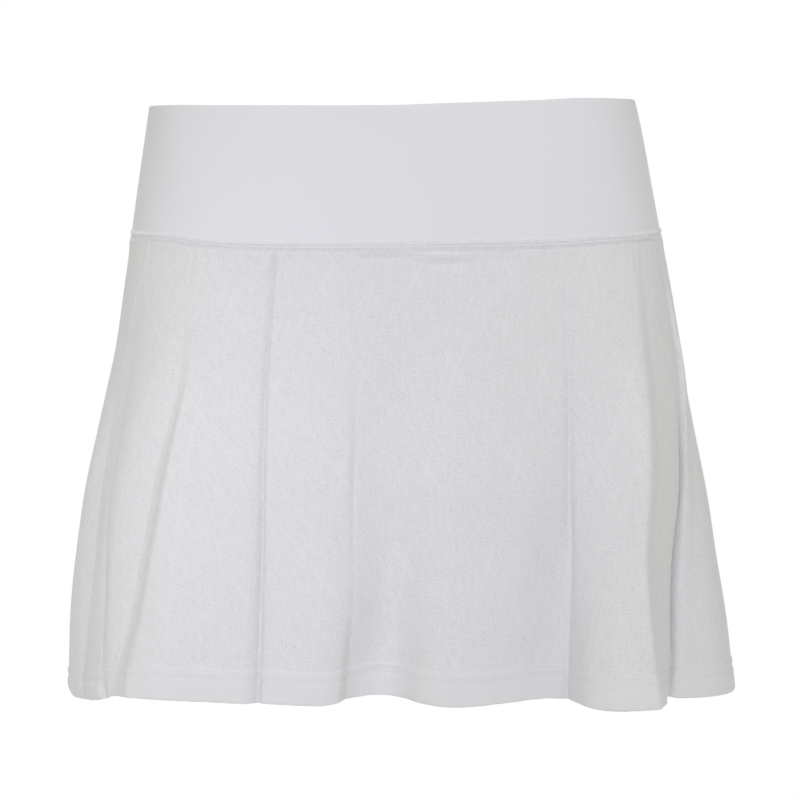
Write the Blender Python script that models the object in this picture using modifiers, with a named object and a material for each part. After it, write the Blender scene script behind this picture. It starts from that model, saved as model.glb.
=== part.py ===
"""Tennis skirt: a high double-layer waistband over a flared knit skirt with deep soft folds.

Metres, +Z up, the front faces -Y, +X is the right side seen from the front.  The origin is the
middle of the waist opening, level with its edge at the sides, where the wearer holds the skirt.

Angles turn about Z in degrees: 0 is the front, 90 the right side, 180 the back.  A height is a
distance above the origin, so the cloth's heights are negative.  Tables are in millimetres and
degrees, and the points made from them in metres.
"""

from collections import namedtuple

import bpy
import numpy as np

MM = 0.001

# Driving dimensions, in metres.
BAND_WALL = 2.0 * MM          # the waistband is one strip folded double
CLOTH_WALL = 1.2 * MM         # single layer of mesh knit
HEM_WALL = 2.0 * MM           # the hem is turned up and stitched through
HEM_DEPTH = 16.0 * MM         # from the lower edge to the upper row of stitches
SEAM_GAP = 0.3 * MM           # between two pieces at a seam
BAND_EDGE_RADIUS = 0.8 * MM   # rounding of the waistband's fold
SEAM_BEAD = 0.7 * MM          # how far the waistband's lower edge stands out
SEAM_BEAD_HEIGHT = 5.0 * MM
BAND_SEAM_ANGLE = 100.0       # the waistband's two joins lie just behind the sides
SIDE_GAP_ANGLE = 0.2          # the same gap as SEAM_GAP, as an angle about Z
COLUMN_ANGLE = 3.1            # widest angle between two columns of the skirt's mesh
COLUMNS_BETWEEN_FOLDS = 3     # fewest columns between two fold lines
BAND_COLUMN_ANGLE = 5.0
SKIRT_ROWS = 13
BAND_ROWS = 5

# The body of the garment without its folds: at each height a ring of four quarter ovals, whose
# halves are these and whose fullness is FULLNESS: 2 is an ellipse, and more has fuller corners.
FULLNESS = 2.35
Section = namedtuple("Section", "height left right front back")
SECTIONS = [
    Section(5, 139.8, 133.8, 95.5, 96),
    Section(-15, 142.8, 138.0, 97, 98),
    Section(-45, 146.4, 143.3, 100, 101),
    Section(-78, 150.7, 149.6, 102.5, 104.5),
    Section(-113, 155.5, 156.4, 103.5, 109),
    Section(-168, 165.6, 165.7, 104.5, 114),
    Section(-222, 176.5, 175.8, 105.5, 117),
    Section(-276, 183.4, 185.0, 105.5, 118),
    Section(-335, 184.6, 192.5, 105.5, 119),
]

# Heights of the waist's edge, the waist seam and the hem round the garment.
Level = namedtuple("Level", "angle top seam hem")
LEVELS = [
    Level(-135, -0.5, -74.0, -333.0),
    Level(-90, -1.8, -74.0, -333.0),
    Level(-72, -2.5, -74.6, -333.8),
    Level(-57, -3.1, -76.0, -328.8),
    Level(-45, -3.8, -79.2, -328.0),
    Level(-25, -4.4, -81.2, -327.4),
    Level(0, -4.7, -81.5, -326.5),
    Level(30, -1.8, -80.2, -326.4),
    Level(50, 0.5, -77.4, -327.3),
    Level(90, 1.8, -73.4, -333.3),
    Level(135, 2.5, -74.0, -333.0),
    Level(180, 2.0, -74.5, -332.0),
]

# Lines that run down the skirt from the waist seam to the hem: the crest or the foot of a fold, or a
# side seam.  Three angles say where the line runs, and three distances how far it stands out from
# the body at a quarter, a half and the whole of the way down.  At the waist seam it stands out by 0.
Fold = namedtuple("Fold", "name at_seam at_middle at_hem out_quarter out_half out_hem")
FOLDS = [
    Fold("side_left", -90, -90, -90, 0, 0, 0),
    Fold("flap_crest", -80, -80, -82, 0.5, 1, 2),
    Fold("seam_left", -61, -68, -74, 0.5, 0.5, 1.5),
    Fold("flap_foot", -55, -62.5, -61, -1, -3.5, -9),
    Fold("hip_crest", -51, -57, -57, 0, 2, 3),
    Fold("hip_foot", -45.5, -48, -52, -2, -4, -4),
    Fold("left_crest", -36, -37, -38, 1, 4, 6),
    Fold("tuck_foot", -26.2, -25.3, -24.2, -3.5, -4, -3),
    Fold("tuck_crest", -22.5, -21.5, -20, 1, 3, 5),
    Fold("front_left_crest", -15, -15, -15, 2, 7, 12),
    Fold("front_left_edge", -10.4, -9.8, -11.3, 1, 5, 8),
    Fold("front_left_foot", -7.6, -6.6, -7.2, -3, -9, -25),
    Fold("front_right_foot", -4, -1.5, -2.2, -4, -11, -26),
    Fold("front_crest", 13, 10, 7, 2, 9, 18),
    Fold("front_slope", 25, 22, 17.5, 0, 2, 4),
    Fold("pleat_foot", 35.0, 33.5, 27.9, -3, -7, -15),
    Fold("pleat_edge", 38.5, 36.5, 30.6, 2, 10, 40),
    Fold("pleat_crest", 47, 43, 35, 5, 18, 48),
    Fold("pleat_end", 58, 51.5, 39.8, 4, 18, 45),
    Fold("right_foot", 72, 66, 48.6, -3, -4, 5),
    Fold("side_right", 90, 90, 90, 0, 0, 0),
    Fold("seam_right", 100, 100, 100, 0.5, 2, 4),
    Fold("back_crest_1", 110, 110, 108, 1, 6, 13),
    Fold("back_foot_1", 124, 123, 124, -2, -6, -13),
    Fold("back_crest_2", 138, 138, 137, 2, 7, 15),
    Fold("back_foot_2", 152, 153, 154, -3, -8, -17),
    Fold("back_crest_3", 168, 169, 168, 2, 7, 14),
    Fold("back_foot_3", 183, 183, 184, -2, -7, -15),
    Fold("back_crest_4", 199, 198, 199, 3, 9, 18),
    Fold("back_foot_4", 214, 215, 216, -2, -7, -15),
    Fold("back_crest_5", 231, 232, 233, 2, 5, 11),
    Fold("back_foot_5", 249, 249, 250, -1, -4, -8),
]


def smooth(at, places, values):
    """Monotone cubic curve through (places, values): it never passes its neighbours' values."""
    places = np.asarray(places, float)
    values = np.asarray(values, float)
    steps = np.diff(places)
    slopes = np.diff(values) / steps
    before, after = slopes[:-1], slopes[1:]
    near, far = 2 * steps[1:] + steps[:-1], steps[1:] + 2 * steps[:-1]
    turning = before * after <= 0
    blend = near / np.where(turning, 1, before) + far / np.where(turning, 1, after)
    inner = np.where(turning, 0, (near + far) / np.where(turning, 1, blend))
    tangents = np.concatenate([slopes[:1], inner, slopes[-1:]])
    index = np.clip(np.searchsorted(places, at) - 1, 0, len(steps) - 1)
    step = steps[index]
    t = (at - places[index]) / step
    rise = values[index + 1] - values[index]
    ease = t * t * (3 - 2 * t)
    bend = t * (1 - t) * step * ((1 - t) * tangents[index] - t * tangents[index + 1])
    return values[index] + rise * ease + bend


def smooth_round(angle, angles, values, gain=0.0):
    """The same curve carried round the garment: each turn repeats it, raised by the gain."""
    angles = np.asarray(angles, float)
    values = np.asarray(values, float)
    places = np.concatenate([angles - 360, angles, angles + 360])
    return smooth(angle, places, np.concatenate([values - gain, values, values + gain]))


def column(table, name):
    """One named column of a table, as numbers."""
    return np.array([getattr(row, name) for row in table], float)


def level(name, angle):
    """Height in metres of the waist's edge, the waist seam or the hem at an angle."""
    return smooth_round(angle, column(LEVELS, "angle"), column(LEVELS, name)) * MM


def body_point(angle, height):
    """A point of the body's ring at an angle and a height, and its outward direction in plan."""
    across = np.sin(np.radians(angle))
    along = np.sign(np.cos(np.radians(angle))) * (1 - np.abs(across) ** FULLNESS) ** (1 / FULLNESS)
    at = -height / MM
    depth_down = -column(SECTIONS, "height")
    sizes = {name: smooth(at, depth_down, column(SECTIONS, name)) * MM
             for name in ("left", "right", "front", "back")}
    half_width = np.where(across < 0, sizes["left"], sizes["right"])
    half_depth = np.where(along > 0, sizes["front"], sizes["back"])
    point = np.stack([half_width * across, -half_depth * along, height + 0 * angle], axis=-1)
    slope = FULLNESS - 1
    outward = np.stack([np.sign(across) * np.abs(across) ** slope / half_width,
                        -np.sign(along) * np.abs(along) ** slope / half_depth, 0 * angle], axis=-1)
    outward /= np.linalg.norm(outward, axis=-1, keepdims=True)
    return point, outward


def fold_lines(down):
    """Angles of all fold lines and how far they stand out, at a share of the way down the skirt."""
    ways = {"at_seam": 0.0, "at_middle": 0.5, "at_hem": 1.0}
    angles = [smooth(down, list(ways.values()), [getattr(fold, name) for name in ways])
              for fold in FOLDS]
    stands = [smooth(down, [0.0, 0.25, 0.5, 1.0], [0, fold.out_quarter, fold.out_half, fold.out_hem])
              for fold in FOLDS]
    return np.array(angles), np.array(stands) * MM


def skirt_row(hem_angles, down):
    """Points of the skirt at a share of the way down, under the given angles of the hem."""
    angles, stands = fold_lines(down)
    angle = smooth_round(hem_angles, column(FOLDS, "at_hem"), angles, gain=360.0)
    angle[0] += SIDE_GAP_ANGLE / 2
    angle[-1] -= SIDE_GAP_ANGLE / 2
    seam = level("seam", angle) - SEAM_GAP / 2
    height = seam + (level("hem", angle) - seam) * down
    point, outward = body_point(angle, height)
    return point + outward * smooth_round(angle, angles, stands)[:, None]


def band_row(angle, down):
    """Points of the waistband at a share of the way down, with the bead along its lower edge."""
    top, foot = level("top", angle), level("seam", angle) + SEAM_GAP / 2
    height = top + (foot - top) * down
    point, outward = body_point(angle, height)
    above_foot = (height - foot) / SEAM_BEAD_HEIGHT
    bead = SEAM_BEAD * np.sin(np.pi * np.clip(above_foot, 0, 1))
    return point + outward * bead[:, None]


def skirt_columns(start, end):
    """Hem angles of a panel's columns: closest together beside the fold lines, where it bends."""
    lines = column(FOLDS, "at_hem")
    lines = np.concatenate([lines, lines + 360])
    stops = [start, *(line for line in lines if start < line < end), end]
    columns = [stops[:1]]
    for first, last in zip(stops[:-1], stops[1:]):
        count = max(COLUMNS_BETWEEN_FOLDS, int(np.ceil((last - first) / COLUMN_ANGLE)))
        shares = (1 - np.cos(np.pi * np.arange(1, count + 1) / count)) / 2
        columns.append(first + (last - first) * shares)
    return np.concatenate(columns)


def skirt_shares():
    """Shares of the way down for a panel's rows, ending in the two rows of the turned-up hem."""
    length = abs(level("hem", np.array([0.0]))[0] - level("seam", np.array([0.0]))[0])
    hem_top = 1 - HEM_DEPTH / length
    step = 0.01
    return np.concatenate([np.linspace(0, hem_top - step, SKIRT_ROWS - 2), [hem_top, 1.0]]), hem_top


def cloth_material(name, colour, roughness):
    material = bpy.data.materials.new(name)
    material.use_nodes = True
    shader = material.node_tree.nodes["Principled BSDF"]
    shader.inputs["Base Color"].default_value = (*colour, 1.0)
    shader.inputs["Roughness"].default_value = roughness
    shader.inputs["Metallic"].default_value = 0.0
    return material


def sheet_object(name, rows, material, collection):
    """An open sheet through rows of points, top row first, facing outward."""
    count = len(rows[0])
    points = np.concatenate(rows).tolist()
    faces = []
    for row in range(len(rows) - 1):
        for place in range(count - 1):
            corner = row * count + place
            faces.append((corner, corner + count, corner + count + 1, corner + 1))
    mesh = bpy.data.meshes.new(name)
    mesh.from_pydata(points, [], faces)
    mesh.materials.append(material)
    mesh.shade_smooth()
    sheet = bpy.data.objects.new(name, mesh)
    collection.objects.link(sheet)
    return sheet


def give_wall(sheet, wall):
    """Thicken a sheet inward, keeping its outer surface where it is."""
    solid = sheet.modifiers.new("wall", "SOLIDIFY")
    solid.thickness = wall
    solid.offset = -1.0
    solid.use_quality_normals = True
    return solid


def make_skirt_panel(name, start, end, material, collection):
    columns = skirt_columns(start, end)
    shares, hem_top = skirt_shares()
    panel = sheet_object(name, [skirt_row(columns, share) for share in shares], material, collection)
    hem = panel.vertex_groups.new(name="hem")
    first_hem_row = int(np.searchsorted(shares, hem_top))
    hem.add(list(range(first_hem_row * len(columns), len(panel.data.vertices))), 1.0, "REPLACE")
    wall = give_wall(panel, HEM_WALL)
    wall.vertex_group = hem.name
    wall.thickness_vertex_group = CLOTH_WALL / HEM_WALL
    return panel


def make_band_panel(name, start, end, material, collection):
    start, end = start + SIDE_GAP_ANGLE / 2, end - SIDE_GAP_ANGLE / 2
    columns = np.linspace(start, end, 1 + int(np.ceil((end - start) / BAND_COLUMN_ANGLE)))
    height = abs(level("seam", np.array([0.0]))[0] - level("top", np.array([0.0]))[0])
    bead_top = 1 - SEAM_BEAD_HEIGHT / height
    bead_middle = (1 + bead_top) / 2
    shares = np.concatenate([np.linspace(0, bead_top, BAND_ROWS), [bead_middle, 1.0]])
    panel = sheet_object(name, [band_row(columns, share) for share in shares], material, collection)
    give_wall(panel, BAND_WALL)
    edges = panel.modifiers.new("fold", "BEVEL")
    edges.width = BAND_EDGE_RADIUS
    edges.segments = 2
    edges.limit_method = "ANGLE"
    edges.angle_limit = np.radians(60)
    return panel


def main():
    for old in list(bpy.data.objects):
        bpy.data.objects.remove(old)
    skirt = bpy.data.collections.new("tennis_skirt")
    bpy.context.scene.collection.children.link(skirt)
    knit = cloth_material("mesh_knit", (0.72, 0.72, 0.74), 0.85)
    interlock = cloth_material("waistband_interlock", (0.73, 0.72, 0.77), 0.7)
    seam_left = next(fold.at_hem for fold in FOLDS if fold.name == "seam_left")
    seam_right = next(fold.at_hem for fold in FOLDS if fold.name == "seam_right")
    make_skirt_panel("skirt_front", seam_left, seam_right, knit, skirt)
    make_skirt_panel("skirt_back", seam_right, seam_left + 360, knit, skirt)
    make_band_panel("waistband_front", -BAND_SEAM_ANGLE, BAND_SEAM_ANGLE, interlock, skirt)
    make_band_panel("waistband_back", BAND_SEAM_ANGLE, 360 - BAND_SEAM_ANGLE, interlock, skirt)


main()
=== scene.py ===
"""Tennis skirt, worn shape: white mesh-knit skirt under a smooth double waistband.

The frame is in metres, +Z up, with the front facing -Y and the middle of the waist opening at the
origin.  Angles turn about Z in degrees: 0 is the front, 90 the side at +X, called right as it is
from the front, and 180 the back.  The pattern's tables are in millimetres and degrees.
"""

from collections import namedtuple

import bpy
import numpy as np
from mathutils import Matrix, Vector


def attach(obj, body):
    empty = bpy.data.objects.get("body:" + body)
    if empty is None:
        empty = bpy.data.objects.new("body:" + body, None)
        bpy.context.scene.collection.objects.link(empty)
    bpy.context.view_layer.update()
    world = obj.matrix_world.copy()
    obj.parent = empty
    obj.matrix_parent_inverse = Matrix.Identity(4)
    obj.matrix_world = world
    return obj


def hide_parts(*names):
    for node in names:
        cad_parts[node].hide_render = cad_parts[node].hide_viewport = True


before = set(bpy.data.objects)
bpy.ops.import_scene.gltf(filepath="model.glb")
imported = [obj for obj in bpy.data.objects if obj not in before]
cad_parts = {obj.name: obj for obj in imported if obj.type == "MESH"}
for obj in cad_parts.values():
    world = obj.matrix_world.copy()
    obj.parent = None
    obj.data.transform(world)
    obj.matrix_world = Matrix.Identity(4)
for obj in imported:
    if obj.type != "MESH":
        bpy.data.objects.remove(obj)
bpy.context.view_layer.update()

# ------------------------------------------------------------------------------------------------
# Front skirt panel: white polyester mesh jersey, about 0.7 mm thick, cut as part of a ring so that
# it flares.  It hangs from the waist seam in soft folds.  Its lower edge is turned up to the inside
# as the hem.  The tables give its shape: the body's rings, its edges' heights, and its folds.
# ------------------------------------------------------------------------------------------------
MM = 0.001
FULLNESS = 2.35                # of the body's ovals: 2 is an ellipse, more has fuller corners
KNIT_THICKNESS = 0.7 * MM
HEM_FOLD_RADIUS = 0.9 * MM     # of the fold at its edge
HEM_DEPTH = 18.0 * MM          # height of the layer turned up inside
HEM_INNER_ROWS = 9             # rows of that layer's mesh
FOLD_STEPS = 6                 # of the half circle in which a sheet of cloth folds over

# The body's rings, in mm: height, and how far they reach to the left, right, front and back.
Section = namedtuple("Section", "height left right front back")
SECTIONS = [
    Section(5, 138.6, 133.2, 95.5, 96),
    Section(-15, 141.4, 137.8, 97, 98),
    Section(-45, 145.8, 143.3, 100, 101),
    Section(-78, 150.4, 149.6, 102.5, 104.5),
    Section(-113, 155.5, 155.0, 103.5, 109),
    Section(-168, 165.6, 165.7, 104.5, 114),
    Section(-222, 176.5, 175.8, 105.5, 117),
    Section(-276, 183.4, 185.0, 105.5, 118),
    Section(-335, 184.6, 192.5, 105.5, 119),
]

# Heights in mm of the waist's edge, the waist seam and the hem round the garment.
Level = namedtuple("Level", "angle top seam hem")
LEVELS = [
    Level(-135, -0.5, -74.0, -333.0),
    Level(-90, -1.8, -74.0, -336.4),
    Level(-72, -2.5, -74.5, -333.4),
    Level(-57, -3.1, -75.5, -327.4),
    Level(-45, -3.8, -78.2, -326.6),
    Level(-25, -4.4, -79.9, -326.7),
    Level(-13, -4.6, -80.0, -326.4),
    Level(-4, -4.6, -80.0, -323.2),
    Level(10, -3.5, -79.6, -326.4),
    Level(24, -2.3, -79.0, -324.2),
    Level(33, -1.5, -78.5, -326.2),
    Level(50, 0.5, -76.4, -326.2),
    Level(56, 0.7, -75.8, -328.3),
    Level(90, 1.8, -73.0, -330.8),
    Level(135, 2.5, -74.0, -333.0),
    Level(180, 2.0, -74.5, -332.0),
]

# Fold lines: their angles at the seam, at each quarter of the way down and at the hem, and how far
# in mm the cloth stands out from the body's ring there, which is 0 at the seam.
STATIONS = (0, 0.25, 0.5, 0.75, 1)
Fold = namedtuple("Fold", "name at_seam at_quarter at_half at_low at_hem "
                          "out_quarter out_half out_low out_hem")
FOLDS = [
    Fold("side_left", -90, -90, -90, -90, -90, 0, 0.6, 1.8, 2.2),
    Fold("flap_crest", -70.7, -84.8, -87, -85.8, -85.8, -2.8, -0.5, -2.5, -1.2),
    Fold("seam_left", -64.3, -77.9, -79.3, -77.8, -80.1, -5.2, -7.2, -9.9, -4.8),
    Fold("flap_foot", -60.4, -72.9, -72, -69.5, -65.4, -5.5, -7.6, -9.7, -5.1),
    Fold("hip_crest", -54.8, -66, -65, -64, -63.5, -4.3, -6.2, -7, -5.1),
    Fold("hip_foot", -47.7, -47.6, -50.9, -53.7, -59.3, -2.4, -4.7, -6.5, -3.5),
    Fold("hip_edge", -44.6, -44.5, -45.5, -47.6, -52, -0.8, 1.7, 1.6, 3.5),
    Fold("left_crest", -38.9, -40.2, -40.7, -42, -43.9, -0.2, 1.3, 3.8, 5),
    Fold("left_dip", -32.9, -34.6, -34, -34.4, -34.9, 0.5, 3, 4, 4),
    Fold("left_swell", -29.7, -29.7, -27.7, -26.3, -26.8, 1, 3.8, 4.6, 5.2),
    Fold("tuck_foot", -26, -25.9, -24.5, -23.5, -23.9, 0.4, 2.2, 2.2, 2.2),
    Fold("tuck_edge", -24.4, -23.8, -22.1, -21.1, -21.2, 0.8, 3, 3.2, 3.6),
    Fold("tuck_crest", -21.7, -21.3, -19.3, -18.7, -18.8, 1.5, 4.5, 5, 6),
    Fold("front_left_crest", -15.9, -14.8, -13.2, -12.5, -13, 2, 6, 9, 11),
    Fold("front_left_edge", -11.6, -9.9, -8.8, -8.7, -9.8, 1, 4, 5.5, 6.5),
    Fold("front_left_foot", -8.3, -7.6, -7.6, -7.4, -8.6, 0, 1.5, 3.2, -4),
    Fold("front_right_foot", -3.4, -2.1, -1, -1, -1.8, -2, -4, -6, -13),
    Fold("front_crest", 12.7, 11.5, 10.3, 8.8, 7.4, 2, 7.5, 11, 16),
    Fold("front_slope", 25.1, 23.4, 21.8, 19.9, 17.6, 0.5, 3.5, 6, 9),
    Fold("pleat_foot", 35, 35.3, 33, 31, 29.3, -1.5, -2.4, -3.6, -5),
    Fold("pleat_edge", 37.2, 37.7, 34.7, 32, 29.5, 0.4, 1.8, 3, 5),
    Fold("pleat_rise", 40.2, 41, 37.9, 34.2, 29.6, 1.5, 8, 14, 24),
    Fold("pleat_crest", 48, 45.8, 41.7, 37.8, 34.3, 3, 14, 27, 46),
    Fold("pleat_end", 59.4, 54.9, 46.3, 41.2, 39.7, 4.4, 23.6, 33.4, 46.1),
    Fold("pleat_turn", 63.9, 61.8, 53, 46.2, 43, -0.6, 8.7, 16, 32.3),
    Fold("right_foot", 74.6, 82.7, 78.1, 65.4, 53.2, -2.2, -11.8, -19.6, -8.3),
    Fold("right_rise", 80, 83.3, 77.2, 65.4, 53.9, 0.8, -7.2, -14.1, -3.6),
    Fold("right_roll", 85.9, 87.4, 82.6, 72.3, 61.9, 1.2, -4.4, -8.4, -1.4),
    Fold("side_right", 90, 90, 90, 90, 90, 0, 0, 0, 0),
    Fold("seam_right", 100, 100, 100, 100, 100, 0.5, 2, 3.1, 4),
    Fold("back_crest_1", 110, 110, 110, 109.2, 108, 1, 6, 9.7, 13),
    Fold("back_foot_1", 124, 123.4, 123, 123.4, 124, -2, -6, -9.6, -13),
    Fold("back_crest_2", 138, 138, 138, 137.6, 137, 2, 7, 11.1, 15),
    Fold("back_foot_2", 152, 152.5, 153, 153.5, 154, -3, -8, -12.6, -17),
    Fold("back_crest_3", 168, 168.6, 169, 168.6, 168, 2, 7, 10.7, 14),
    Fold("back_foot_3", 183, 183, 183, 183.4, 184, -2, -7, -11.1, -15),
    Fold("back_crest_4", 199, 198.4, 198, 198.4, 199, 3, 9, 13.7, 18),
    Fold("back_foot_4", 214, 214.5, 215, 215.5, 216, -2, -7, -11.1, -15),
    Fold("back_crest_5", 231, 231.5, 232, 232.5, 233, 2, 5, 8, 11),
    Fold("back_foot_5", 249, 249, 249, 249.4, 250, -1, -4, -6.1, -8),
]

# Creases at the foot of a fold, where it rolls over its neighbour: how far they are pressed in at
# the seam, halfway and at the hem, and how far that reaches on their left and right, all in mm.
Crease = namedtuple("Crease", "fold deep_seam deep_half deep_hem wide_left wide_right")
CREASES = [
    Crease("tuck_foot", 2.4, 3.4, 3.6, 1.4, 1.4),
    Crease("front_left_foot", 0.2, 0.5, 0.3, 1.4, 1.4),
    Crease("pleat_foot", 0.0, 2.2, 1.0, 2.0, 1.5),
    Crease("right_foot", 0.4, 0.8, 1.0, 2.0, 1.2),
    Crease("hip_foot", 0.1, 0.4, 0.4, 3.0, 1.5),
    Crease("flap_foot", 0.0, 0.3, 0.5, 2.0, 2.0),
]
CREASE_START = 10.0            # in mm below the seam, where they reach their full depth


def smooth(at, places, values):
    """Cubic curve through (places, values) that never passes its neighbours' values: its slope at a
    place is the weighted harmonic mean of the slopes on either side, and 0 where those turn."""
    places = np.asarray(places, float)
    values = np.asarray(values, float)
    steps = np.diff(places)
    slopes = np.diff(values) / steps
    before, after = slopes[:-1], slopes[1:]
    near, far = 2 * steps[1:] + steps[:-1], steps[1:] + 2 * steps[:-1]
    turning = before * after <= 0
    blend = near / np.where(turning, 1, before) + far / np.where(turning, 1, after)
    inner = np.where(turning, 0, (near + far) / np.where(turning, 1, blend))
    tangents = np.concatenate([slopes[:1], inner, slopes[-1:]])
    index = np.clip(np.searchsorted(places, at) - 1, 0, len(steps) - 1)
    step = steps[index]
    t = (at - places[index]) / step
    rise = values[index + 1] - values[index]
    ease = t * t * (3 - 2 * t)
    bend = t * (1 - t) * step * ((1 - t) * tangents[index] - t * tangents[index + 1])
    return values[index] + rise * ease + bend


def smooth_round(angle, angles, values, gain=0.0):
    """The same curve carried round the garment: each turn repeats it, raised by the gain."""
    angles = np.asarray(angles, float)
    values = np.asarray(values, float)
    places = np.concatenate([angles - 360, angles, angles + 360])
    return smooth(angle, places, np.concatenate([values - gain, values, values + gain]))


def column(table, name):
    """One named column of a table, as numbers."""
    return np.array([getattr(row, name) for row in table], float)


def level(name, angle):
    """Height in metres of the waist's edge, the waist seam or the hem at an angle."""
    return smooth_round(angle, column(LEVELS, "angle"), column(LEVELS, name)) * MM


def body_point(angle, height):
    """Point of the body's ring, |x / a|^n + |y / b|^n = 1 with n the fullness, and the outward
    normal there, (|x|^(n-1) / a, |y|^(n-1) / b) with the signs of x and y."""
    across = np.sin(np.radians(angle))
    along = np.sign(np.cos(np.radians(angle))) * (1 - np.abs(across) ** FULLNESS) ** (1 / FULLNESS)
    sizes = {name: smooth(-height / MM, -column(SECTIONS, "height"), column(SECTIONS, name)) * MM
             for name in ("left", "right", "front", "back")}
    half_width = np.where(across < 0, sizes["left"], sizes["right"])
    half_depth = np.where(along > 0, sizes["front"], sizes["back"])
    point = np.stack([half_width * across, -half_depth * along, height + 0 * angle], axis=-1)
    slope = FULLNESS - 1
    outward = np.stack([np.sign(across) * np.abs(across) ** slope / half_width,
                        -np.sign(along) * np.abs(along) ** slope / half_depth, 0 * angle], axis=-1)
    return point, outward / np.linalg.norm(outward, axis=-1, keepdims=True)


def line_angle(line, down):
    """Angle of a fold line at a share of the way down the skirt."""
    return smooth(down, STATIONS, line[1:6])


def fold_places():
    """Each fold line's column: its angle at the hem, but at least 1 more than the column before it,
    as a line may lie behind its neighbour there."""
    steps = np.arange(len(FOLDS))
    return np.maximum.accumulate(column(FOLDS, "at_hem") - steps) + steps


def skirt_row(columns, down):
    """Points of the skirt at a share of the way down, in the given columns: the body's ring, moved
    out by the smooth curve through the fold lines."""
    lines = np.array([line_angle(fold, down) for fold in FOLDS])
    stands = np.array([smooth(down, STATIONS, (0, *fold[6:])) for fold in FOLDS]) * MM
    angle = smooth_round(columns, fold_places(), lines, gain=360.0)
    stand = smooth_round(columns, fold_places(), stands)
    seam = level("seam", angle)
    height = seam + (level("hem", angle) - seam) * down
    point, outward = body_point(angle, height)
    return point + outward * stand[:, None], angle


def grid_normals(points):
    """Unit normals of a grid of points, from the cross product of its two directions."""
    down, along = np.gradient(points, axis=0), np.gradient(points, axis=1)
    normals = np.cross(down, along)
    return normals / np.linalg.norm(normals, axis=-1, keepdims=True)


def fold_over(points, normals, radius, depth, inner_rows):
    """Rows that carry a sheet on from its last row: half a circle towards the inside, then back up
    along itself, two radii inside, to a given depth."""
    onward = points[-1] - points[-2]
    onward = onward / np.linalg.norm(onward, axis=-1, keepdims=True)
    turn = np.linspace(0, np.pi, FOLD_STEPS + 1)[1:, None, None]
    bend = points[-1] + radius * np.sin(turn) * onward - radius * (1 - np.cos(turn)) * normals[-1]
    run = np.linalg.norm(np.diff(points[::-1], axis=0), axis=-1).mean(axis=1).cumsum()
    wanted = np.linspace(0, depth, inner_rows + 1)[1:]
    rows = np.interp(wanted, np.concatenate([[0], run]), np.arange(len(points))[::-1])
    low = np.floor(rows).astype(int)
    part = (rows - low)[:, None, None]
    high = np.minimum(low + 1, len(points) - 1)
    back = points[low] * (1 - part) + points[high] * part
    back_normals = normals[low] * (1 - part) + normals[high] * part
    return np.concatenate([points, bend, back - 2 * radius * back_normals])


def ring_cut(points, length):
    """Flat cut of a flared panel, part of a ring: returns each point's place on it, in metres.
    A point's share of the turn is its share of its own row's length, and the radius grows down."""
    steps = np.linalg.norm(np.diff(points, axis=1), axis=-1)
    along = np.concatenate([0 * steps[:, :1], steps.cumsum(axis=1)], axis=1)
    share = along / along[:, -1:] - 0.5
    down = np.linalg.norm(np.diff(points, axis=0), axis=-1).mean(axis=1)
    down = np.concatenate([[0], down.cumsum()])
    flare = (along[length - 1, -1] - along[0, -1]) / down[length - 1]
    radius = (along[0, -1] / flare + down)[:, None]
    turn = share * flare
    return np.stack([radius * np.sin(turn), -radius * np.cos(turn)], axis=-1)


def sheet_mesh(name, grid, cut):
    """A mesh of quads through a grid of points, with its flat cut as the UV map, in metres."""
    rows, columns = grid.shape[:2]
    corner = (np.arange(rows - 1)[:, None] * columns + np.arange(columns - 1)).ravel()
    quads = np.stack([corner, corner + columns, corner + columns + 1, corner + 1], axis=1)
    mesh = bpy.data.meshes.new(name)
    mesh.vertices.add(rows * columns)
    mesh.vertices.foreach_set("co", grid.reshape(-1).astype(np.float32))
    mesh.loops.add(quads.size)
    mesh.loops.foreach_set("vertex_index", quads.reshape(-1).astype(np.int32))
    mesh.polygons.add(len(quads))
    mesh.polygons.foreach_set("loop_start", np.arange(0, quads.size, 4, dtype=np.int32))
    mesh.update(calc_edges=True)
    mesh.uv_layers.new(name="cut")
    mesh.uv_layers["cut"].data.foreach_set("uv", cut.reshape(-1, 2)[quads.reshape(-1)].ravel())
    mesh.shade_smooth()
    piece = bpy.data.objects.new(name, mesh)
    bpy.context.scene.collection.objects.link(piece)
    return piece


def thicken(piece, thickness):
    """Solidify to the inside, so that the outer face stays where the grid is."""
    wall = piece.modifiers.new("wall", "SOLIDIFY")
    wall.thickness = thickness
    wall.offset = -1.0


def linear(code):
    """A hex sRGB colour as a linear RGBA."""
    parts = np.array([int(code[i:i + 2], 16) for i in (0, 2, 4)]) / 255
    parts = np.where(parts <= 0.04045, parts / 12.92, ((parts + 0.055) / 1.055) ** 2.4)
    return (*parts.tolist(), 1.0)


def add_node(material, kind, links=(), **settings):
    """Add a node: settings are its own properties, or its inputs by name or index, and links are
    (input, other node's output)."""
    tree = material.node_tree
    node = tree.nodes.new(kind)
    for name, value in settings.pop("inputs", {}).items():
        node.inputs[name].default_value = value
    for name, value in settings.items():
        setattr(node, name, value)
    for socket, source in links:
        tree.links.new(source, node.inputs[socket])
    return node


def new_material(name, inputs):
    """A material with its Principled shader's plain values set."""
    material = bpy.data.materials.new(name)
    material.use_nodes = True
    shader = material.node_tree.nodes["Principled BSDF"]
    for socket, value in inputs.items():
        shader.inputs[socket].default_value = value
    return material, shader


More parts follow.
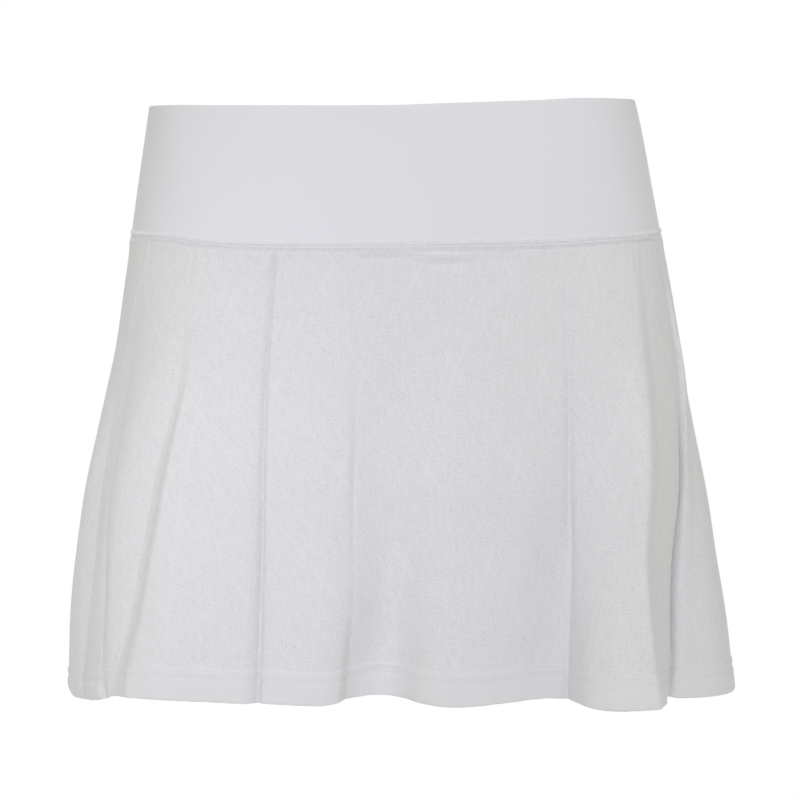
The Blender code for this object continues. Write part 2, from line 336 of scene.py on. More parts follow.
# Mesh jersey: full-dull polyester, warp knitted with rows of pinholes, white.  It scatters light
# with almost no gloss.  Its holes are painted as small grey dots of shade, the shade seen through
# them, and this painted shade is fainter where a second layer of cloth lies behind.  The jacquard
# is a plain lattice of tall diamonds, drawn by leaving holes out along the lines, most near their
# crossings.
KNIT_WHITE = "EBEAEE"
# Painted shade: the grey put into the holes for the shade seen through them.
HOLE_SHADE_GREY = "DCDBDE"
HOLE_PITCH = (1.2 * MM, 1.7 * MM)     # across and down the cloth
HOLE_SCATTER = 0.6                    # 0 puts the holes in straight rows, 1 anywhere
HOLE_EDGE = (0.1, 0.6)                # a hole's inner and outer radius, in pitches
HOLE_DEPTH = 0.15 * MM
PATCH = (2.4 * MM, 9.0 * MM)          # patches of more and less open knit, taller than wide
PATCH_LEAST = 0.15                    # share of a hole's tone that is left in the closest patch
DIAMOND = (50.0 * MM, 108.0 * MM)     # width and height of a diamond of the lattice
LINE_SHARE = 0.02                     # a line's half width, as a share of the diamond's width
LINE_FILL = (0.2, 0.9)                # share of holes left out halfway along a side, at a crossing
BACKED_FILL = 0.6                     # how much of the holes a second layer of cloth hides


def make_mesh_jersey():
    """Holes are round the scattered points of a Voronoi pattern, one in each cell of a grid as wide
    and high as the pitch.  They are dented and painted with the grey of shade, whose strength
    follows the patches, a noise whose 0.3 to 0.7 is spread over the whole range.  A diamond's lines
    are where
    |x| + |y| is 1/2, in diamonds from its own middle, and they cross where |x| - |y| is 1/2 or -1/2."""
    material, shader = new_material("polyester_mesh_jersey", {
        "Roughness": 0.9, "IOR": 1.5, "Sheen Weight": 0.15, "Sheen Roughness": 0.5})

    cut = add_node(material, "ShaderNodeUVMap", uv_map="cut").outputs["UV"]
    spaced = add_node(material, "ShaderNodeVectorMath", [(0, cut)], operation="DIVIDE",
                      inputs={1: (*HOLE_PITCH, 1)})
    cells = add_node(material, "ShaderNodeTexVoronoi", [("Vector", spaced.outputs[0])],
                     voronoi_dimensions="2D", inputs={"Scale": 1.0, "Randomness": HOLE_SCATTER})
    dots = add_node(material, "ShaderNodeMapRange", [("Value", cells.outputs["Distance"])],
                    interpolation_type="SMOOTHSTEP",
                    inputs={"From Min": HOLE_EDGE[0], "From Max": HOLE_EDGE[1],
                            "To Min": 1.0, "To Max": 0.0})
    shrunk = add_node(material, "ShaderNodeVectorMath", [(0, cut)], operation="DIVIDE",
                      inputs={1: (*PATCH, 1)})
    patches = add_node(material, "ShaderNodeTexNoise", [("Vector", shrunk.outputs[0])],
                       inputs={"Scale": 1.0, "Detail": 3.0})
    openness = add_node(material, "ShaderNodeMapRange", [("Value", patches.outputs[0])],
                        inputs={"From Min": 0.3, "From Max": 0.7, "To Min": PATCH_LEAST})

    places = add_node(material, "ShaderNodeVectorMath", [(0, cut)], operation="DIVIDE",
                      inputs={1: (*DIAMOND, 1)})
    folded = add_node(material, "ShaderNodeVectorMath", [(0, places.outputs[0])],
                      operation="FRACTION")
    centred = add_node(material, "ShaderNodeVectorMath", [(0, folded.outputs[0])],
                       operation="SUBTRACT", inputs={1: (0.5, 0.5, 0)})
    reach = add_node(material, "ShaderNodeVectorMath", [(0, centred.outputs[0])],
                     operation="ABSOLUTE")
    reach_parts = add_node(material, "ShaderNodeSeparateXYZ", [(0, reach.outputs[0])])
    both = [(0, reach_parts.outputs["X"]), (1, reach_parts.outputs["Y"])]
    reach_sum = add_node(material, "ShaderNodeMath", both, operation="ADD")
    line = add_node(material, "ShaderNodeMath", [(0, reach_sum.outputs[0])], operation="COMPARE",
                    inputs={1: 0.5, 2: LINE_SHARE})
    reach_gap = add_node(material, "ShaderNodeMath", both, operation="SUBTRACT")
    reach_size = add_node(material, "ShaderNodeMath", [(0, reach_gap.outputs[0])],
                          operation="ABSOLUTE")
    crossing = add_node(material, "ShaderNodeMapRange", [("Value", reach_size.outputs[0])],
                        interpolation_type="SMOOTHSTEP",
                        inputs={"From Min": 0.2, "From Max": 0.5,
                                "To Min": LINE_FILL[0], "To Max": LINE_FILL[1]})
    filled = add_node(material, "ShaderNodeMath", [(0, line.outputs[0]), (1, crossing.outputs[0])],
                      operation="MULTIPLY")
    doubled = add_node(material, "ShaderNodeAttribute", attribute_name="doubled")
    backed = add_node(material, "ShaderNodeMath", [(0, doubled.outputs["Fac"])],
                      operation="MULTIPLY", inputs={1: BACKED_FILL})
    closed = add_node(material, "ShaderNodeMath", [(0, filled.outputs[0]), (1, backed.outputs[0])],
                      operation="MAXIMUM")
    left_open = add_node(material, "ShaderNodeMath", [(1, closed.outputs[0])],
                         operation="SUBTRACT", inputs={0: 1.0})
    open_share = add_node(material, "ShaderNodeMath",
                          [(0, openness.outputs[0]), (1, left_open.outputs[0])],
                          operation="MULTIPLY")
    # Where the holes are: their dents, and the painted shade seen through them.
    hole_dent_and_shade = add_node(material, "ShaderNodeMath",
                       [(0, dots.outputs[0]), (1, open_share.outputs[0])],
                       operation="MULTIPLY").outputs[0]
    colour = add_node(material, "ShaderNodeMix", [("Factor", hole_dent_and_shade)],
                      data_type="RGBA", inputs={6: linear(KNIT_WHITE), 7: linear(HOLE_SHADE_GREY)})
    bump = add_node(material, "ShaderNodeBump", [("Height", hole_dent_and_shade)], invert=True,
                    inputs={"Strength": 0.25, "Distance": HOLE_DEPTH})
    material.node_tree.links.new(colour.outputs[2], shader.inputs["Base Color"])
    material.node_tree.links.new(bump.outputs["Normal"], shader.inputs["Normal"])
    return material


# A panel's mesh: the distance between two columns along the hem, how much denser they are at a
# crease or side seam, and how far that reaches.
COLUMN_STEP = 2.05 * MM
COLUMN_CROWD = 3.0
COLUMN_REACH = 4.5 * MM
HEM_SAMPLES = 8000             # points along a panel's hem from which its columns are counted off
# Its rows: the shares of the way down between which they are evenly spaced, and their number.  They
# are close together at the seam and at the hem, where the stitches draw the cloth in.
ROW_BANDS = ((0, 0.02, 16), (0.02, 0.08, 12), (0.08, 0.915, 41), (0.915, 1, 28))


def fold_at(name):
    """Column of a fold line."""
    return fold_places()[[fold.name for fold in FOLDS].index(name)]


def bump_at(distance, width, power=2):
    """A bump of height 1: exp(-(distance / width)^power), flat on top with a high power."""
    return np.exp(-(np.abs(distance / width) ** power))


def hem_columns(start, end):
    """A panel's columns: evenly spaced along the hem, and close together at creases.  Their number
    per length is 1, and crowd * exp(-(distance / reach)^2) more at each crease and side seam."""
    fine = np.linspace(start, end, HEM_SAMPLES)
    points, _ = skirt_row(fine, 1.0)
    run = np.concatenate([[0], np.linalg.norm(np.diff(points, axis=0), axis=1).cumsum()])
    crowding = np.ones_like(run)
    creases = [fold_at(crease.fold) for crease in CREASES if start < fold_at(crease.fold) < end]
    for place in np.interp([start, *creases, end], fine, run):
        crowding += COLUMN_CROWD * bump_at(run - place, COLUMN_REACH)
    count = np.concatenate([[0], np.cumsum(0.5 * (crowding[1:] + crowding[:-1]) * np.diff(run))])
    columns = int(round(count[-1] / COLUMN_STEP))
    return np.interp(np.linspace(0, count[-1], columns + 1), count, fine)


def skirt_grid(columns):
    """The outer face all round, from the waist seam to the hem's edge, and its points' angles."""
    bands = [np.linspace(start, end, count + 1)[1:] for start, end, count in ROW_BANDS]
    rows = [skirt_row(columns, down) for down in np.concatenate([[0], *bands])]
    return np.array([row[0] for row in rows]), np.array([row[1] for row in rows])


def ring_normals(points):
    """Normals of a grid whose last column is its first one again."""
    return grid_normals(np.concatenate([points[:, -2:-1], points, points[:, 1:2]], axis=1))[:, 1:-1]


def waves(turns, parts):
    """Sum of sine waves over a number of turns.  Each has a count of cycles in a turn, a whole
    number so that it closes, and a phase."""
    return sum(np.sin(2 * np.pi * turns * count + phase) for count, phase in parts)


def turned(angle, middle):
    """How far an angle is turned from another, the short way round."""
    return (angle - middle + 180) % 360 - 180


def crease_relief(below, from_line):
    """Creases: depth * exp(-distance / width) to either side of their lines."""
    down = below / below[-1]
    relief = np.zeros_like(below)
    for crease in CREASES:
        distance = from_line(fold_at(crease.fold))
        deep = smooth(down, (0, 0.5, 1), (crease.deep_seam, crease.deep_half, crease.deep_hem))
        wide = np.where(distance < 0, crease.wide_left, crease.wide_right)
        relief -= deep * np.exp(-np.abs(distance) / wide)
    return relief * np.clip(below / CREASE_START, 0, 1)


# Where the waist seam gathers the cloth most: middle and half width in degrees, and strength.
Gather = namedtuple("Gather", "angle width strength")
GATHERS = [
    Gather(-31, 16, 1.0),
    Gather(33, 5, 0.7),
    Gather(58, 8, 0.4),
    Gather(150, 40, 0.6),
    Gather(235, 30, 0.6),
]
GATHER_LEAST = 0.15            # strength away from those places
GATHER_COUNT = 101             # round the whole seam
GATHER_DEPTH = 3.2             # in mm, where the strength is 1
GATHER_MIDDLE = 0.6            # height of the cloth's own level between groove, 0, and ridge, 1
GATHER_STRAY = 0.0008          # how far they stray from even places, in turns, and its waves
STRAY_WAVES = ((24, 0.4), (16, 2.1), (61, 1.3))
GATHER_LEAN = 0.00016          # how far they lean to the left, in turns for each mm down
GATHER_START = (3.0, 8.0)      # in mm below the seam, from where to where they grow
GATHER_FADE = 11.0             # in mm, the distance down in which they fade to 1 / e


def gather_relief(angles, below):
    """Gathers: |sin|, round ridges between sharp grooves, which fade within about 30 mm."""
    strength = GATHER_LEAST + sum(
        gather.strength * bump_at(turned(angles, gather.angle), gather.width) for gather in GATHERS)
    turns = angles / 360
    place = turns + GATHER_STRAY * waves(turns, STRAY_WAVES) + GATHER_LEAN * below
    ridges = np.abs(np.sin(GATHER_COUNT * np.pi * place)) - GATHER_MIDDLE
    growth = np.interp(below, GATHER_START, (0, 1))
    return GATHER_DEPTH * strength * ridges * np.exp(-below / GATHER_FADE) * growth


# Shallow pouches, where the gathered edge rolls over, with a dent under the roll: the dent's angle
# and half width in degrees, and its place below the seam and its depth in mm.
Pouch = namedtuple("Pouch", "angle width below depth")
POUCHES = [
    Pouch(-2, 7, 6.5, 0.9),
    Pouch(9.8, 5, 10, 1.2),
]
DENT_WIDTH = 1.8               # half widths of dent and roll, down the cloth in mm
ROLL_WIDTH = 2.2
ROLL_RISE = 4.0                # how far the roll is above the dent, in mm
ROLL_SHARE = 0.7               # its height, as a share of the dent's depth

# The seam allowance lies behind the cloth below the waist seam and lifts it by one step.  The seam
# and its row of stitches press grooves into the cloth.  All are in mm, with places below the seam.
ALLOWANCE = 7.0
ALLOWANCE_STEP = 0.45
ALLOWANCE_SOFT = 0.6           # the step's softness
SEAM_GROOVE = (0.45, 0.45, 0.7)       # place, half width, depth
STITCH_GROOVE = (2.5, 1.1, 0.65)


def seam_relief(angles, below):
    """The pouches, a step of 1 / (1 + exp(x)) at the allowance's edge, and the two grooves, of
    which that of the stitches has a flat floor."""
    relief = ALLOWANCE_STEP / (1 + np.exp((below - ALLOWANCE) / ALLOWANCE_SOFT))
    for (place, width, depth), power in ((SEAM_GROOVE, 2), (STITCH_GROOVE, 4)):
        relief -= depth * bump_at(below - place, width, power)
    for pouch in POUCHES:
        roll = ROLL_SHARE * bump_at(below - pouch.below + ROLL_RISE, ROLL_WIDTH)
        dent = bump_at(below - pouch.below, DENT_WIDTH)
        relief += pouch.depth * bump_at(turned(angles, pouch.angle), pouch.width, 4) * (roll - dent)
    return relief


# The hem, in mm: heights above its edge, and how far the cloth stands out there.  It swells below
# each row of stitches, is drawn in at the row, and ripples along the whole hem.
STITCH_ROWS = (10.7, 16.3)     # heights of the two rows of stitches
HEM_PLACES = (0, 9.8, 11.4, 15.2, 17.2, 24)
HEM_STEPS = (0.2, 0.65, 0, 0.7, 0, 0)
RIPPLE = 0.2
RIPPLE_WAVES = ((109, 1.0), (71, 3.3), (46, 5.1))
RIPPLE_FADE = 13.0             # height in which the ripples fade to 1 / e
# In the front the turned-up layer's edge is roped: it shows as a low ridge, lower at the right.
ROPE_SPAN = (-2.8, 5.2)        # the ridge's middle and half width, in degrees
ROPE_SIZE = (0.8, 0.6)         # how far it stands out, and its half width
ROPE_PLACE = 16.4              # its height above the hem's edge
ROPE_DROP = (0.3, 4.0, 0.5)    # angle where it starts to drop, reach, and drop for a square degree
# The hem is pinched in just right of the left side seam, and curls in where the seam stiffens it.
PINCH = 2.4                    # how far in, its half width along the hem, and its height
PINCH_WIDTH = 3.5
PINCH_HEIGHT = 12.0
CURL = 3.5                     # how far in, its height, and its middle and half width in degrees
CURL_HEIGHT = 8.0
CURL_ANGLE = 272.0
CURL_WIDTH = 20.0


def hem_relief(angles, above_hem, from_pinch):
    """Straight lines between the steps, ripples that fade as exp(-height / fade), a ridge that
    drops with the angle's square, a pinch that fades with the height, and a curl that fades with
    the height's square."""
    relief = np.interp(above_hem, HEM_PLACES, HEM_STEPS)
    relief += RIPPLE * waves(angles / 360, RIPPLE_WAVES) * np.exp(-above_hem / RIPPLE_FADE)

    start, reach, drop = ROPE_DROP
    rope = ROPE_PLACE - drop * np.clip(turned(angles, start), 0, reach) ** 2
    middle, half = ROPE_SPAN
    size, width = ROPE_SIZE
    relief += size * bump_at(turned(angles, middle), half, 4) * bump_at(above_hem - rope, width)

    relief -= PINCH * bump_at(from_pinch, PINCH_WIDTH) * np.clip(1 - above_hem / PINCH_HEIGHT, 0, 1)
    curl = np.clip(1 - above_hem / CURL_HEIGHT, 0, 1) ** 2
    relief -= CURL * curl * bump_at(turned(angles, CURL_ANGLE), CURL_WIDTH, 4)
    return relief


# Slow unevenness of the whole cloth, in mm: waves round it, which lean, and waves down it.
SWELL = 0.25
SWELL_WAVES = ((16, 0.7), (11, 2.9))
SWELL_LEAN = 0.0005            # in turns for each mm down
DRIFT = 0.2
DRIFT_WAVES = ((0.098, -2, 1.9), (0.061, 0, 0.2))     # radians for each mm, cycles in a turn, phase
SLOW_START = 60.0              # in mm below the seam, where it reaches its full height


def slow_relief(angles, below):
    """The sum of the sine waves round the skirt and down it, growing from the waist seam down."""
    turns = angles / 360
    slow = SWELL * waves(turns + SWELL_LEAN * below, SWELL_WAVES)
    slow += DRIFT * sum(np.sin(rate * below + 2 * np.pi * count * turns + phase)
                        for rate, count, phase in DRIFT_WAVES)
    return slow * np.clip(below / SLOW_START, 0, 1)


SIDE_SEAM = 0.3                # how far a side seam's layers raise it, in mm, and half width
SIDE_SEAM_WIDTH = 0.9
SIDE_SEAM_START = 4.0          # in mm below the waist seam, where it reaches its full height


def dress_grid(points, angles, columns):
    """Move the outer face along its normals by the sum of the small forms of sewn cloth, and say
    how far each point is above the hem's edge, in mm."""
    below = np.linalg.norm(points - points[:1], axis=-1) / MM
    run = np.linalg.norm(np.diff(points[::-1], axis=0), axis=-1).cumsum(axis=0)
    above_hem = np.concatenate([0 * points[:1, :, 0], run])[::-1] / MM
    steps = np.linalg.norm(np.diff(points, axis=1), axis=-1)
    along = np.concatenate([0 * steps[:, :1], steps.cumsum(axis=1)], axis=1) / MM

    def from_line(place):
        """How far each point is to the right of the line in a column, along its own row, in mm."""
        nearest = np.abs(columns - place).argmin()
        return along - along[:, nearest:nearest + 1]

    side_seams = (fold_at("seam_left"), fold_at("seam_right"), fold_at("seam_left") + 360)
    from_side = np.min([np.abs(from_line(seam)) for seam in side_seams], axis=0)
    relief = SIDE_SEAM * bump_at(from_side, SIDE_SEAM_WIDTH)
    relief *= np.clip(below / SIDE_SEAM_START, 0, 1)
    relief += crease_relief(below, from_line)
    relief += gather_relief(angles, below)
    relief += seam_relief(angles, below)
    relief += hem_relief(angles, above_hem, from_line(fold_at("flap_foot")))
    relief += slow_relief(angles, below)
    return points + ring_normals(points) * (relief * MM)[..., None], above_hem


def make_skirt_panel(name, points, normals, above_hem):
    """A panel between two side seams, with its hem turned up.  Its "doubled" attribute is 1 where
    two layers of cloth lie together, at the hem, and falls to 0 over 1 mm at the inner edge."""
    grid = fold_over(points, normals, HEM_FOLD_RADIUS, HEM_DEPTH, HEM_INNER_ROWS)
    panel = sheet_mesh(name, grid, ring_cut(grid, len(points)))
    doubled = np.ones(grid.shape[:2])
    doubled[:len(points)] = np.clip(HEM_DEPTH / MM + 0.5 - above_hem, 0, 1)
    panel.data.attributes.new("doubled", "FLOAT", "POINT")
    panel.data.attributes["doubled"].data.foreach_set("value", doubled.ravel())
    thicken(panel, KNIT_THICKNESS)
    return panel


# The whole skirt's outer face is worked out once, and cut into its two panels at the side seams.
left_seam, right_seam = fold_at("seam_left"), fold_at("seam_right")
front_columns = hem_columns(left_seam, right_seam)
back_columns = hem_columns(right_seam, left_seam + 360)
all_columns = np.concatenate([front_columns, back_columns[1:]])
skirt, skirt_above = dress_grid(*skirt_grid(all_columns), all_columns)
skirt_normals = ring_normals(skirt)
front = np.s_[:, :len(front_columns)]
back = np.s_[:, len(front_columns) - 1:]

mesh_jersey = make_mesh_jersey()
front_panel = make_skirt_panel("front_skirt_panel", skirt[front], skirt_normals[front],
                               skirt_above[front])
front_panel.data.materials.append(mesh_jersey)
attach(front_panel, "root")
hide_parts("skirt_front")

# ------------------------------------------------------------------------------------------------
# Back skirt panel: the same jersey and cut, a little wider than the front.
# ------------------------------------------------------------------------------------------------
back_panel = make_skirt_panel("back_skirt_panel", skirt[back], skirt_normals[back],
                              skirt_above[back])
back_panel.data.materials.append(mesh_jersey)
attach(back_panel, "root")
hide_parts("skirt_back")

# ------------------------------------------------------------------------------------------------
# Hem stitching: two rows of twin-needle stitches in white spun polyester thread, which hold the
# turned-up hem to each panel.  Each stitch is about 2.4 mm long, and the thread is drawn 0.55 mm
# thick, about twice its real size, so that it shows.
# ------------------------------------------------------------------------------------------------
THREAD_WHITE = "ECEBEF"
THREAD = 0.55 * MM
THREAD_HAIR = 0.15 * MM        # size of the grain that its fibres give
HEM_STITCH = 2.4 * MM
HEM_PITCH = 2.9 * MM           # from one stitch to the next
STITCH_PLACES = (-1, -0.75, 0, 0.75, 1)      # of a stitch's rings, in half lengths from its middle
STITCH_SIDES = 6
STITCH_TAPER = 0.96            # where on its ellipse a stitch is cut off: 1 ends it in a point


def make_thread():
    """Spun polyester thread: two plies, whose hairy surface only softens the light."""
    material, shader = new_material("spun_polyester_thread", {
        "Base Color": linear(THREAD_WHITE), "Roughness": 0.8, "IOR": 1.5, "Sheen Weight": 0.2})
    place = add_node(material, "ShaderNodeTexCoord").outputs["Object"]
    fibres = add_node(material, "ShaderNodeTexNoise", [("Vector", place)],
                      inputs={"Scale": 1 / THREAD_HAIR, "Detail": 1.0})
    bump = add_node(material, "ShaderNodeBump", [("Height", fibres.outputs[0])],
                    inputs={"Strength": 0.3, "Distance": 0.05 * MM})
    material.node_tree.links.new(bump.outputs["Normal"], shader.inputs["Normal"])
    return material


def level_path(points, heights, height):
    """Where a grid's columns pass a height, along straight lines from row to row.  The heights of
    all points are given, and fall from row to row."""
    row = (heights > height).sum(axis=0) - 1
    column_index = np.arange(points.shape[1])
    above, below = heights[row, column_index], heights[row + 1, column_index]
    part = ((above - height) / (above - below))[:, None]
    return points[row, column_index] * (1 - part) + points[row + 1, column_index] * part


def stitch_rows(name, paths, pitch, length, slant=0.0, lift=0.2):
    """Threads laid on cloth along paths of (points, normals), one every pitch.  Each is a tube
    round a straight line, slanted to the path by an angle and lifted off the cloth by a share of
    its thickness.  Its radius is sqrt(1 - t^2), with t from -taper at one end to taper at the
    other."""
    along = np.array(STITCH_PLACES)
    turn = np.arange(STITCH_SIDES) * 2 * np.pi / STITCH_SIDES
    swell = np.sqrt(1 - (STITCH_TAPER * along) ** 2)[:, None] * THREAD / 2
    rings = []
    for points, normals in paths:
        run = np.concatenate([[0], np.linalg.norm(np.diff(points, axis=0), axis=1).cumsum()])
        count = int(run[-1] / pitch)
        places = (np.arange(count) + 0.5) * run[-1] / count
        centre, normal, onward = (
            np.stack([np.interp(places, run, axis) for axis in values.T], axis=-1)[:, None, None]
            for values in (points, normals, np.gradient(points, axis=0)))
        onward = onward / np.linalg.norm(onward, axis=-1, keepdims=True)
        normal = normal / np.linalg.norm(normal, axis=-1, keepdims=True)
        sideways = np.cross(normal, onward)
        axis = np.cos(slant) * onward + np.sin(slant) * sideways
        across = np.cross(normal, axis)
        rings.append(centre + axis * along[:, None, None] * length / 2
                     + normal * (lift * THREAD + swell * np.sin(turn))[..., None]
                     + across * (swell * np.cos(turn))[..., None])
    rings = np.concatenate(rings).reshape(-1, 3)
    ring = np.arange(STITCH_SIDES)
    onto = (ring + 1) % STITCH_SIDES
    side = np.stack([ring, onto, onto + STITCH_SIDES, ring + STITCH_SIDES], axis=1)
    last_ring = STITCH_SIDES * (len(along) - 1)
    tube = np.concatenate([side + start for start in range(0, last_ring, STITCH_SIDES)])
    starts = np.arange(0, len(rings), last_ring + STITCH_SIDES)[:, None]
    faces = (starts[:, None] + tube).reshape(-1, 4).tolist()
    faces += (starts + ring[::-1]).tolist() + (starts + last_ring + ring).tolist()
    mesh = bpy.data.meshes.new(name)
    mesh.from_pydata(rings.tolist(), [], faces)
    mesh.shade_smooth()
    piece = bpy.data.objects.new(name, mesh)
    bpy.context.scene.collection.objects.link(piece)
    return piece


thread = make_thread()
for name, part, panel, flat, area in (("front", front, front_panel, (0.62, 0.34), 0.14),
                                      ("back", back, back_panel, (0.66, 0.34), 0.15)):
    paths = [(level_path(skirt[part], skirt_above[part], row),
              level_path(skirt_normals[part], skirt_above[part], row)) for row in STITCH_ROWS]
    stitches = stitch_rows(name + "_hem_stitches", paths, HEM_PITCH, HEM_STITCH)
    stitches.data.materials.append(thread)
    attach(stitches, "root")

# ------------------------------------------------------------------------------------------------
# Waistband: smooth interlock jersey of polyester and elastane, one strip for the front and one for
# the back, folded double over its upper edge.  Its lower edge rolls a little over the waist seam.
# ------------------------------------------------------------------------------------------------
BAND_THICKNESS = 0.9 * MM
BAND_FOLD_RADIUS = 1.0 * MM
BAND_DEPTH = 77.0 * MM         # height of the layer turned down inside
BAND_INNER_ROWS = 24           # rows of that layer's mesh
BAND_JOIN = 100.0              # angle of its joins, behind the sides
BAND_LAP = 0.2 * MM            # how far its lower edge comes down over the skirt
BAND_BEAD = 0.45 * MM
BAND_BEAD_HEIGHT = 3.2 * MM
BAND_BEAD_POWER = 0.45         # 1 gives the bead a sine's section, less a fuller one
BAND_SWELL = 0.12 * MM         # slow unevenness of its face, and waves round it, which lean
BAND_SWELL_WAVES = ((16, 0.3), (10, 2.2))
BAND_SWELL_LEAN = 0.07         # in turns, from its lower edge to its fold
BAND_COLUMNS = 0.9             # columns of its mesh in a degree
BAND_ROW_BANDS = ((0, 0.05, 16), (0.05, 1, 33))       # as the skirt's, from its lower edge up
BAND_WHITE = "EBEAF1"
BAND_GRAIN = MM / 0.9          # size of the knit's grain as drawn: about twice a real rib's width


def make_interlock():
    """Fine interlock: its upright ribs, about half a millimetre apart, are too fine to show.  They
    only blur the light, as an even grain does."""
    material, shader = new_material("polyester_elastane_interlock", {
        "Base Color": linear(BAND_WHITE), "Roughness": 0.75, "IOR": 1.5,
        "Sheen Weight": 0.2, "Sheen Roughness": 0.4})
    cut = add_node(material, "ShaderNodeUVMap", uv_map="cut").outputs["UV"]
    grain = add_node(material, "ShaderNodeTexNoise", [("Vector", cut)],
                     inputs={"Scale": 1 / BAND_GRAIN, "Detail": 2.0})
    bump = add_node(material, "ShaderNodeBump", [("Height", grain.outputs[0])],
                    inputs={"Strength": 0.15, "Distance": 0.2 * MM})
    material.node_tree.links.new(bump.outputs["Normal"], shader.inputs["Normal"])
    return material


def band_grid(start, end):
    """The waistband's outer face, from its lower edge up to its fold: the body's ring, with a bead
    sin(pi * t)^power along the lower edge, and waves that die out at both edges as a sine does."""
    angle = np.linspace(start, end, int((end - start) * BAND_COLUMNS))
    foot, top = level("seam", angle) - BAND_LAP, level("top", angle) - BAND_FOLD_RADIUS
    bands = [np.linspace(first, last, count + 1)[1:] for first, last, count in BAND_ROW_BANDS]
    rows = []
    for share in np.concatenate([[0], *bands]):
        height = foot + (top - foot) * share
        point, outward = body_point(angle, height)
        up_bead = np.clip((height - foot) / BAND_BEAD_HEIGHT, 0, 1)
        bead = BAND_BEAD * np.sin(np.pi * up_bead) ** BAND_BEAD_POWER
        swell = BAND_SWELL * waves(angle / 360 + BAND_SWELL_LEAN * share, BAND_SWELL_WAVES)
        rows.append(point + outward * (bead + swell * np.sin(np.pi * share))[:, None])
    return np.array(rows)


def make_band(name, start, end):
    """A strip between two joins, folded over at the top.  Its flat cut is a rectangle: x is the
    length along the lower edge, and y the mean length up the outside and down the inside."""
    points = band_grid(start, end)
    grid = fold_over(points, -grid_normals(points), BAND_FOLD_RADIUS, BAND_DEPTH, BAND_INNER_ROWS)
    rises = np.linalg.norm(np.diff(grid, axis=0), axis=-1).mean(axis=1)
    over = np.concatenate([[0], rises.cumsum()])
    along = np.concatenate([[0], np.linalg.norm(np.diff(points[0], axis=0), axis=1).cumsum()])
    cut = np.stack(np.broadcast_arrays(along[None, :], over[:, None]), axis=-1)
    band = sheet_mesh(name, grid[::-1], cut[::-1])
    thicken(band, BAND_THICKNESS)
    return band


interlock = make_interlock()
for name, node, start, end, flat in (
        ("front_waistband", "waistband_front", -BAND_JOIN, BAND_JOIN, (0.42, 0.154)),
        ("back_waistband", "waistband_back", BAND_JOIN, 360 - BAND_JOIN, (0.36, 0.154))):
    band = make_band(name, start, end)
    band.data.materials.append(interlock)
    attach(band, "root")
    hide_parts(node)

# ------------------------------------------------------------------------------------------------
# Waist seam stitching: a coverstitch in the same thread, one row across the bead of the waistband
# and one row of slanted stitches on the skirt just under it.
# ------------------------------------------------------------------------------------------------
SEAM_PITCH = 1.5 * MM
BEAD_STITCH = 2.0 * MM
SKIRT_STITCH = 2.8 * MM
STITCH_SLANT = np.radians(122.0)

# The bead's row runs along its crest, in half degrees, and the skirt's row in its groove.
bead_angles = np.linspace(-180, 180, 721)
crest = level("seam", bead_angles) - BAND_LAP + 0.5 * BAND_BEAD_HEIGHT
bead_points, bead_normals = body_point(bead_angles, crest)
bead_points = bead_points + bead_normals * BAND_BEAD
above_seam = -np.linalg.norm(skirt - skirt[:1], axis=-1) / MM
groove = -STITCH_GROOVE[0]
skirt_path = (level_path(skirt, above_seam, groove), level_path(skirt_normals, above_seam, groove))
for name, paths, length, slant, lift in (
        ("bead_stitches", [(bead_points, bead_normals)], BEAD_STITCH, np.pi / 2, 0.1),
        ("waist_seam_stitches", [skirt_path], SKIRT_STITCH, STITCH_SLANT, 0.7)):
    stitches = stitch_rows(name, paths, SEAM_PITCH, length, slant, lift)
    stitches.data.materials.append(thread)
    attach(stitches, "root")

# ------------------------------------------------------------------------------------------------
# Studio: a white floor far below the skirt, a white surround, a softbox overhead and a spot from
# the front left.  The camera is 2 m in front, level with the waistband, and looks slightly down.
# ------------------------------------------------------------------------------------------------
FLOOR_HEIGHT = -2.0
CAMERA_PLACE = (0.0017, -2.0, -0.075)
CAMERA_PITCH = -2.66
CAMERA_LENS = 158.8
# The surround's light from a direction (x, y, z) is LEVEL + DIP * y^2 + RISE * y^4 + SIDE * x.  Its
# colour goes from the tint of the sides, at 0, to that of the ends, at 1, with y^2 + TINT_SIDE * x.
SURROUND_LEVEL = 0.88
SURROUND_DIP = -4.0
SURROUND_RISE = 5.3
SURROUND_SIDE = 0.03
TINT_SIDE = 0.2
SIDE_TINT = (0.985, 1, 0.865, 1)
END_TINT = (1.005, 1, 1.045, 1)

bpy.ops.mesh.primitive_plane_add(size=16.0, location=(0, 0, FLOOR_HEIGHT))
floor = bpy.context.object
floor.name = "studio_floor"
white_floor, _ = new_material("white_studio_floor", {
    "Base Color": linear("F2F2F2"), "Roughness": 0.9, "Emission Color": (1, 1, 1, 1),
    "Emission Strength": 1.0})
floor.data.materials.append(white_floor)
floor.visible_diffuse = False
floor.visible_shadow = False

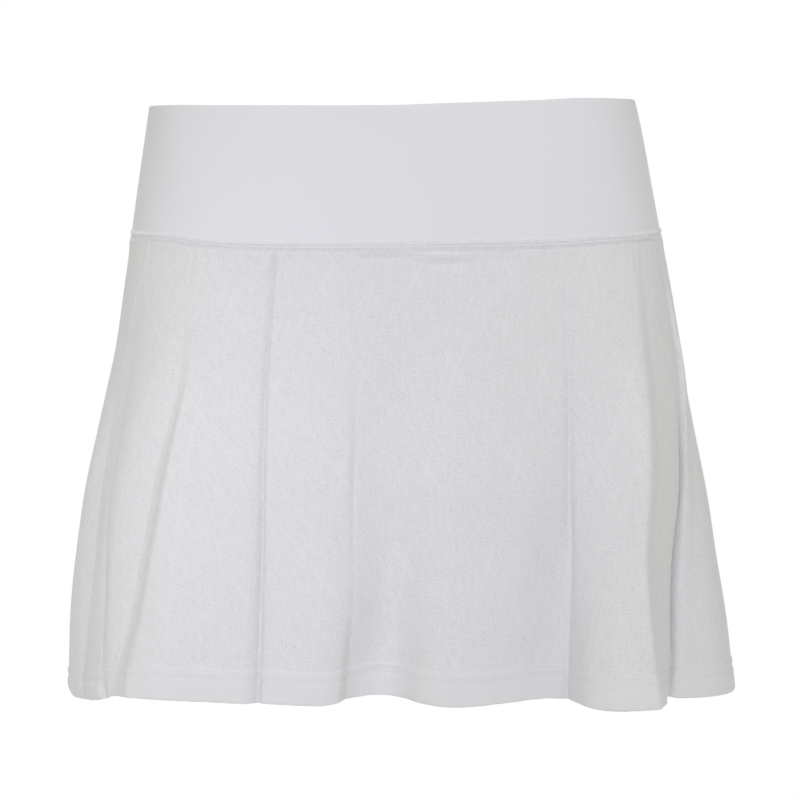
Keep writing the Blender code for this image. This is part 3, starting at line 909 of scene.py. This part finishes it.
world = bpy.data.worlds.new("white_surround")
bpy.context.scene.world = world
world.use_nodes = True
surround = world.node_tree
surround.nodes.clear()
direction = add_node(world, "ShaderNodeTexCoord").outputs["Generated"]
axes = add_node(world, "ShaderNodeSeparateXYZ", [(0, direction)])
depth = add_node(world, "ShaderNodeMath", [(0, axes.outputs["Y"]), (1, axes.outputs["Y"])],
                 operation="MULTIPLY")
slope = add_node(world, "ShaderNodeMath", [(0, depth.outputs[0])], operation="MULTIPLY_ADD",
                 inputs={1: SURROUND_RISE, 2: SURROUND_DIP})
facing = add_node(world, "ShaderNodeMath", [(0, depth.outputs[0]), (1, slope.outputs[0])],
                  operation="MULTIPLY_ADD", inputs={2: SURROUND_LEVEL})
sided = add_node(world, "ShaderNodeMath", [(0, axes.outputs["X"]), (2, facing.outputs[0])],
                 operation="MULTIPLY_ADD", inputs={1: SURROUND_SIDE})
cool = add_node(world, "ShaderNodeMath", [(0, axes.outputs["X"]), (2, depth.outputs[0])],
                operation="MULTIPLY_ADD", inputs={1: TINT_SIDE})
tint = add_node(world, "ShaderNodeMix", [("Factor", cool.outputs[0])], data_type="RGBA",
                inputs={6: SIDE_TINT, 7: END_TINT})
seen = add_node(world, "ShaderNodeLightPath").outputs["Is Camera Ray"]
lit = add_node(world, "ShaderNodeBackground",
               [("Color", tint.outputs[2]), ("Strength", sided.outputs[0])])
white = add_node(world, "ShaderNodeBackground", inputs={"Color": (1, 1, 1, 1), "Strength": 1.0})
either = add_node(world, "ShaderNodeMixShader",
                  [(0, seen), (1, lit.outputs[0]), (2, white.outputs[0])])
add_node(world, "ShaderNodeOutputWorld", [("Surface", either.outputs[0])])


def add_light(name, kind, place, target, power, **settings):
    """A light at a place, turned towards a target."""
    data = bpy.data.lights.new(name, kind)
    data.energy = power
    for setting, value in settings.items():
        setattr(data, setting, value)
    light = bpy.data.objects.new(name, data)
    light.location = place
    light.rotation_euler = (Vector(target) - Vector(place)).to_track_quat("-Z", "Y").to_euler()
    light.visible_camera = False
    bpy.context.scene.collection.objects.link(light)


add_light("overhead_softbox", "AREA", (0.0, -0.85, 0.62), (0, 0, -0.1), 2.8,
          shape="RECTANGLE", size=1.7, size_y=0.4)
add_light("left_spot", "SPOT", (-0.95, -1.45, -0.08), (-0.14, -0.09, -0.22), 18.0,
          color=(0.87, 0.86, 1.0), spot_size=np.radians(17.5), spot_blend=1.0,
          shadow_soft_size=0.12)

camera_data = bpy.data.cameras.new("camera")
camera_data.lens = CAMERA_LENS
camera = bpy.data.objects.new("camera", camera_data)
camera.location = CAMERA_PLACE
camera.rotation_euler = (np.radians(90 + CAMERA_PITCH), 0, 0)
bpy.context.scene.collection.objects.link(camera)
bpy.context.scene.camera = camera
bpy.context.scene.view_settings.view_transform = "Standard"
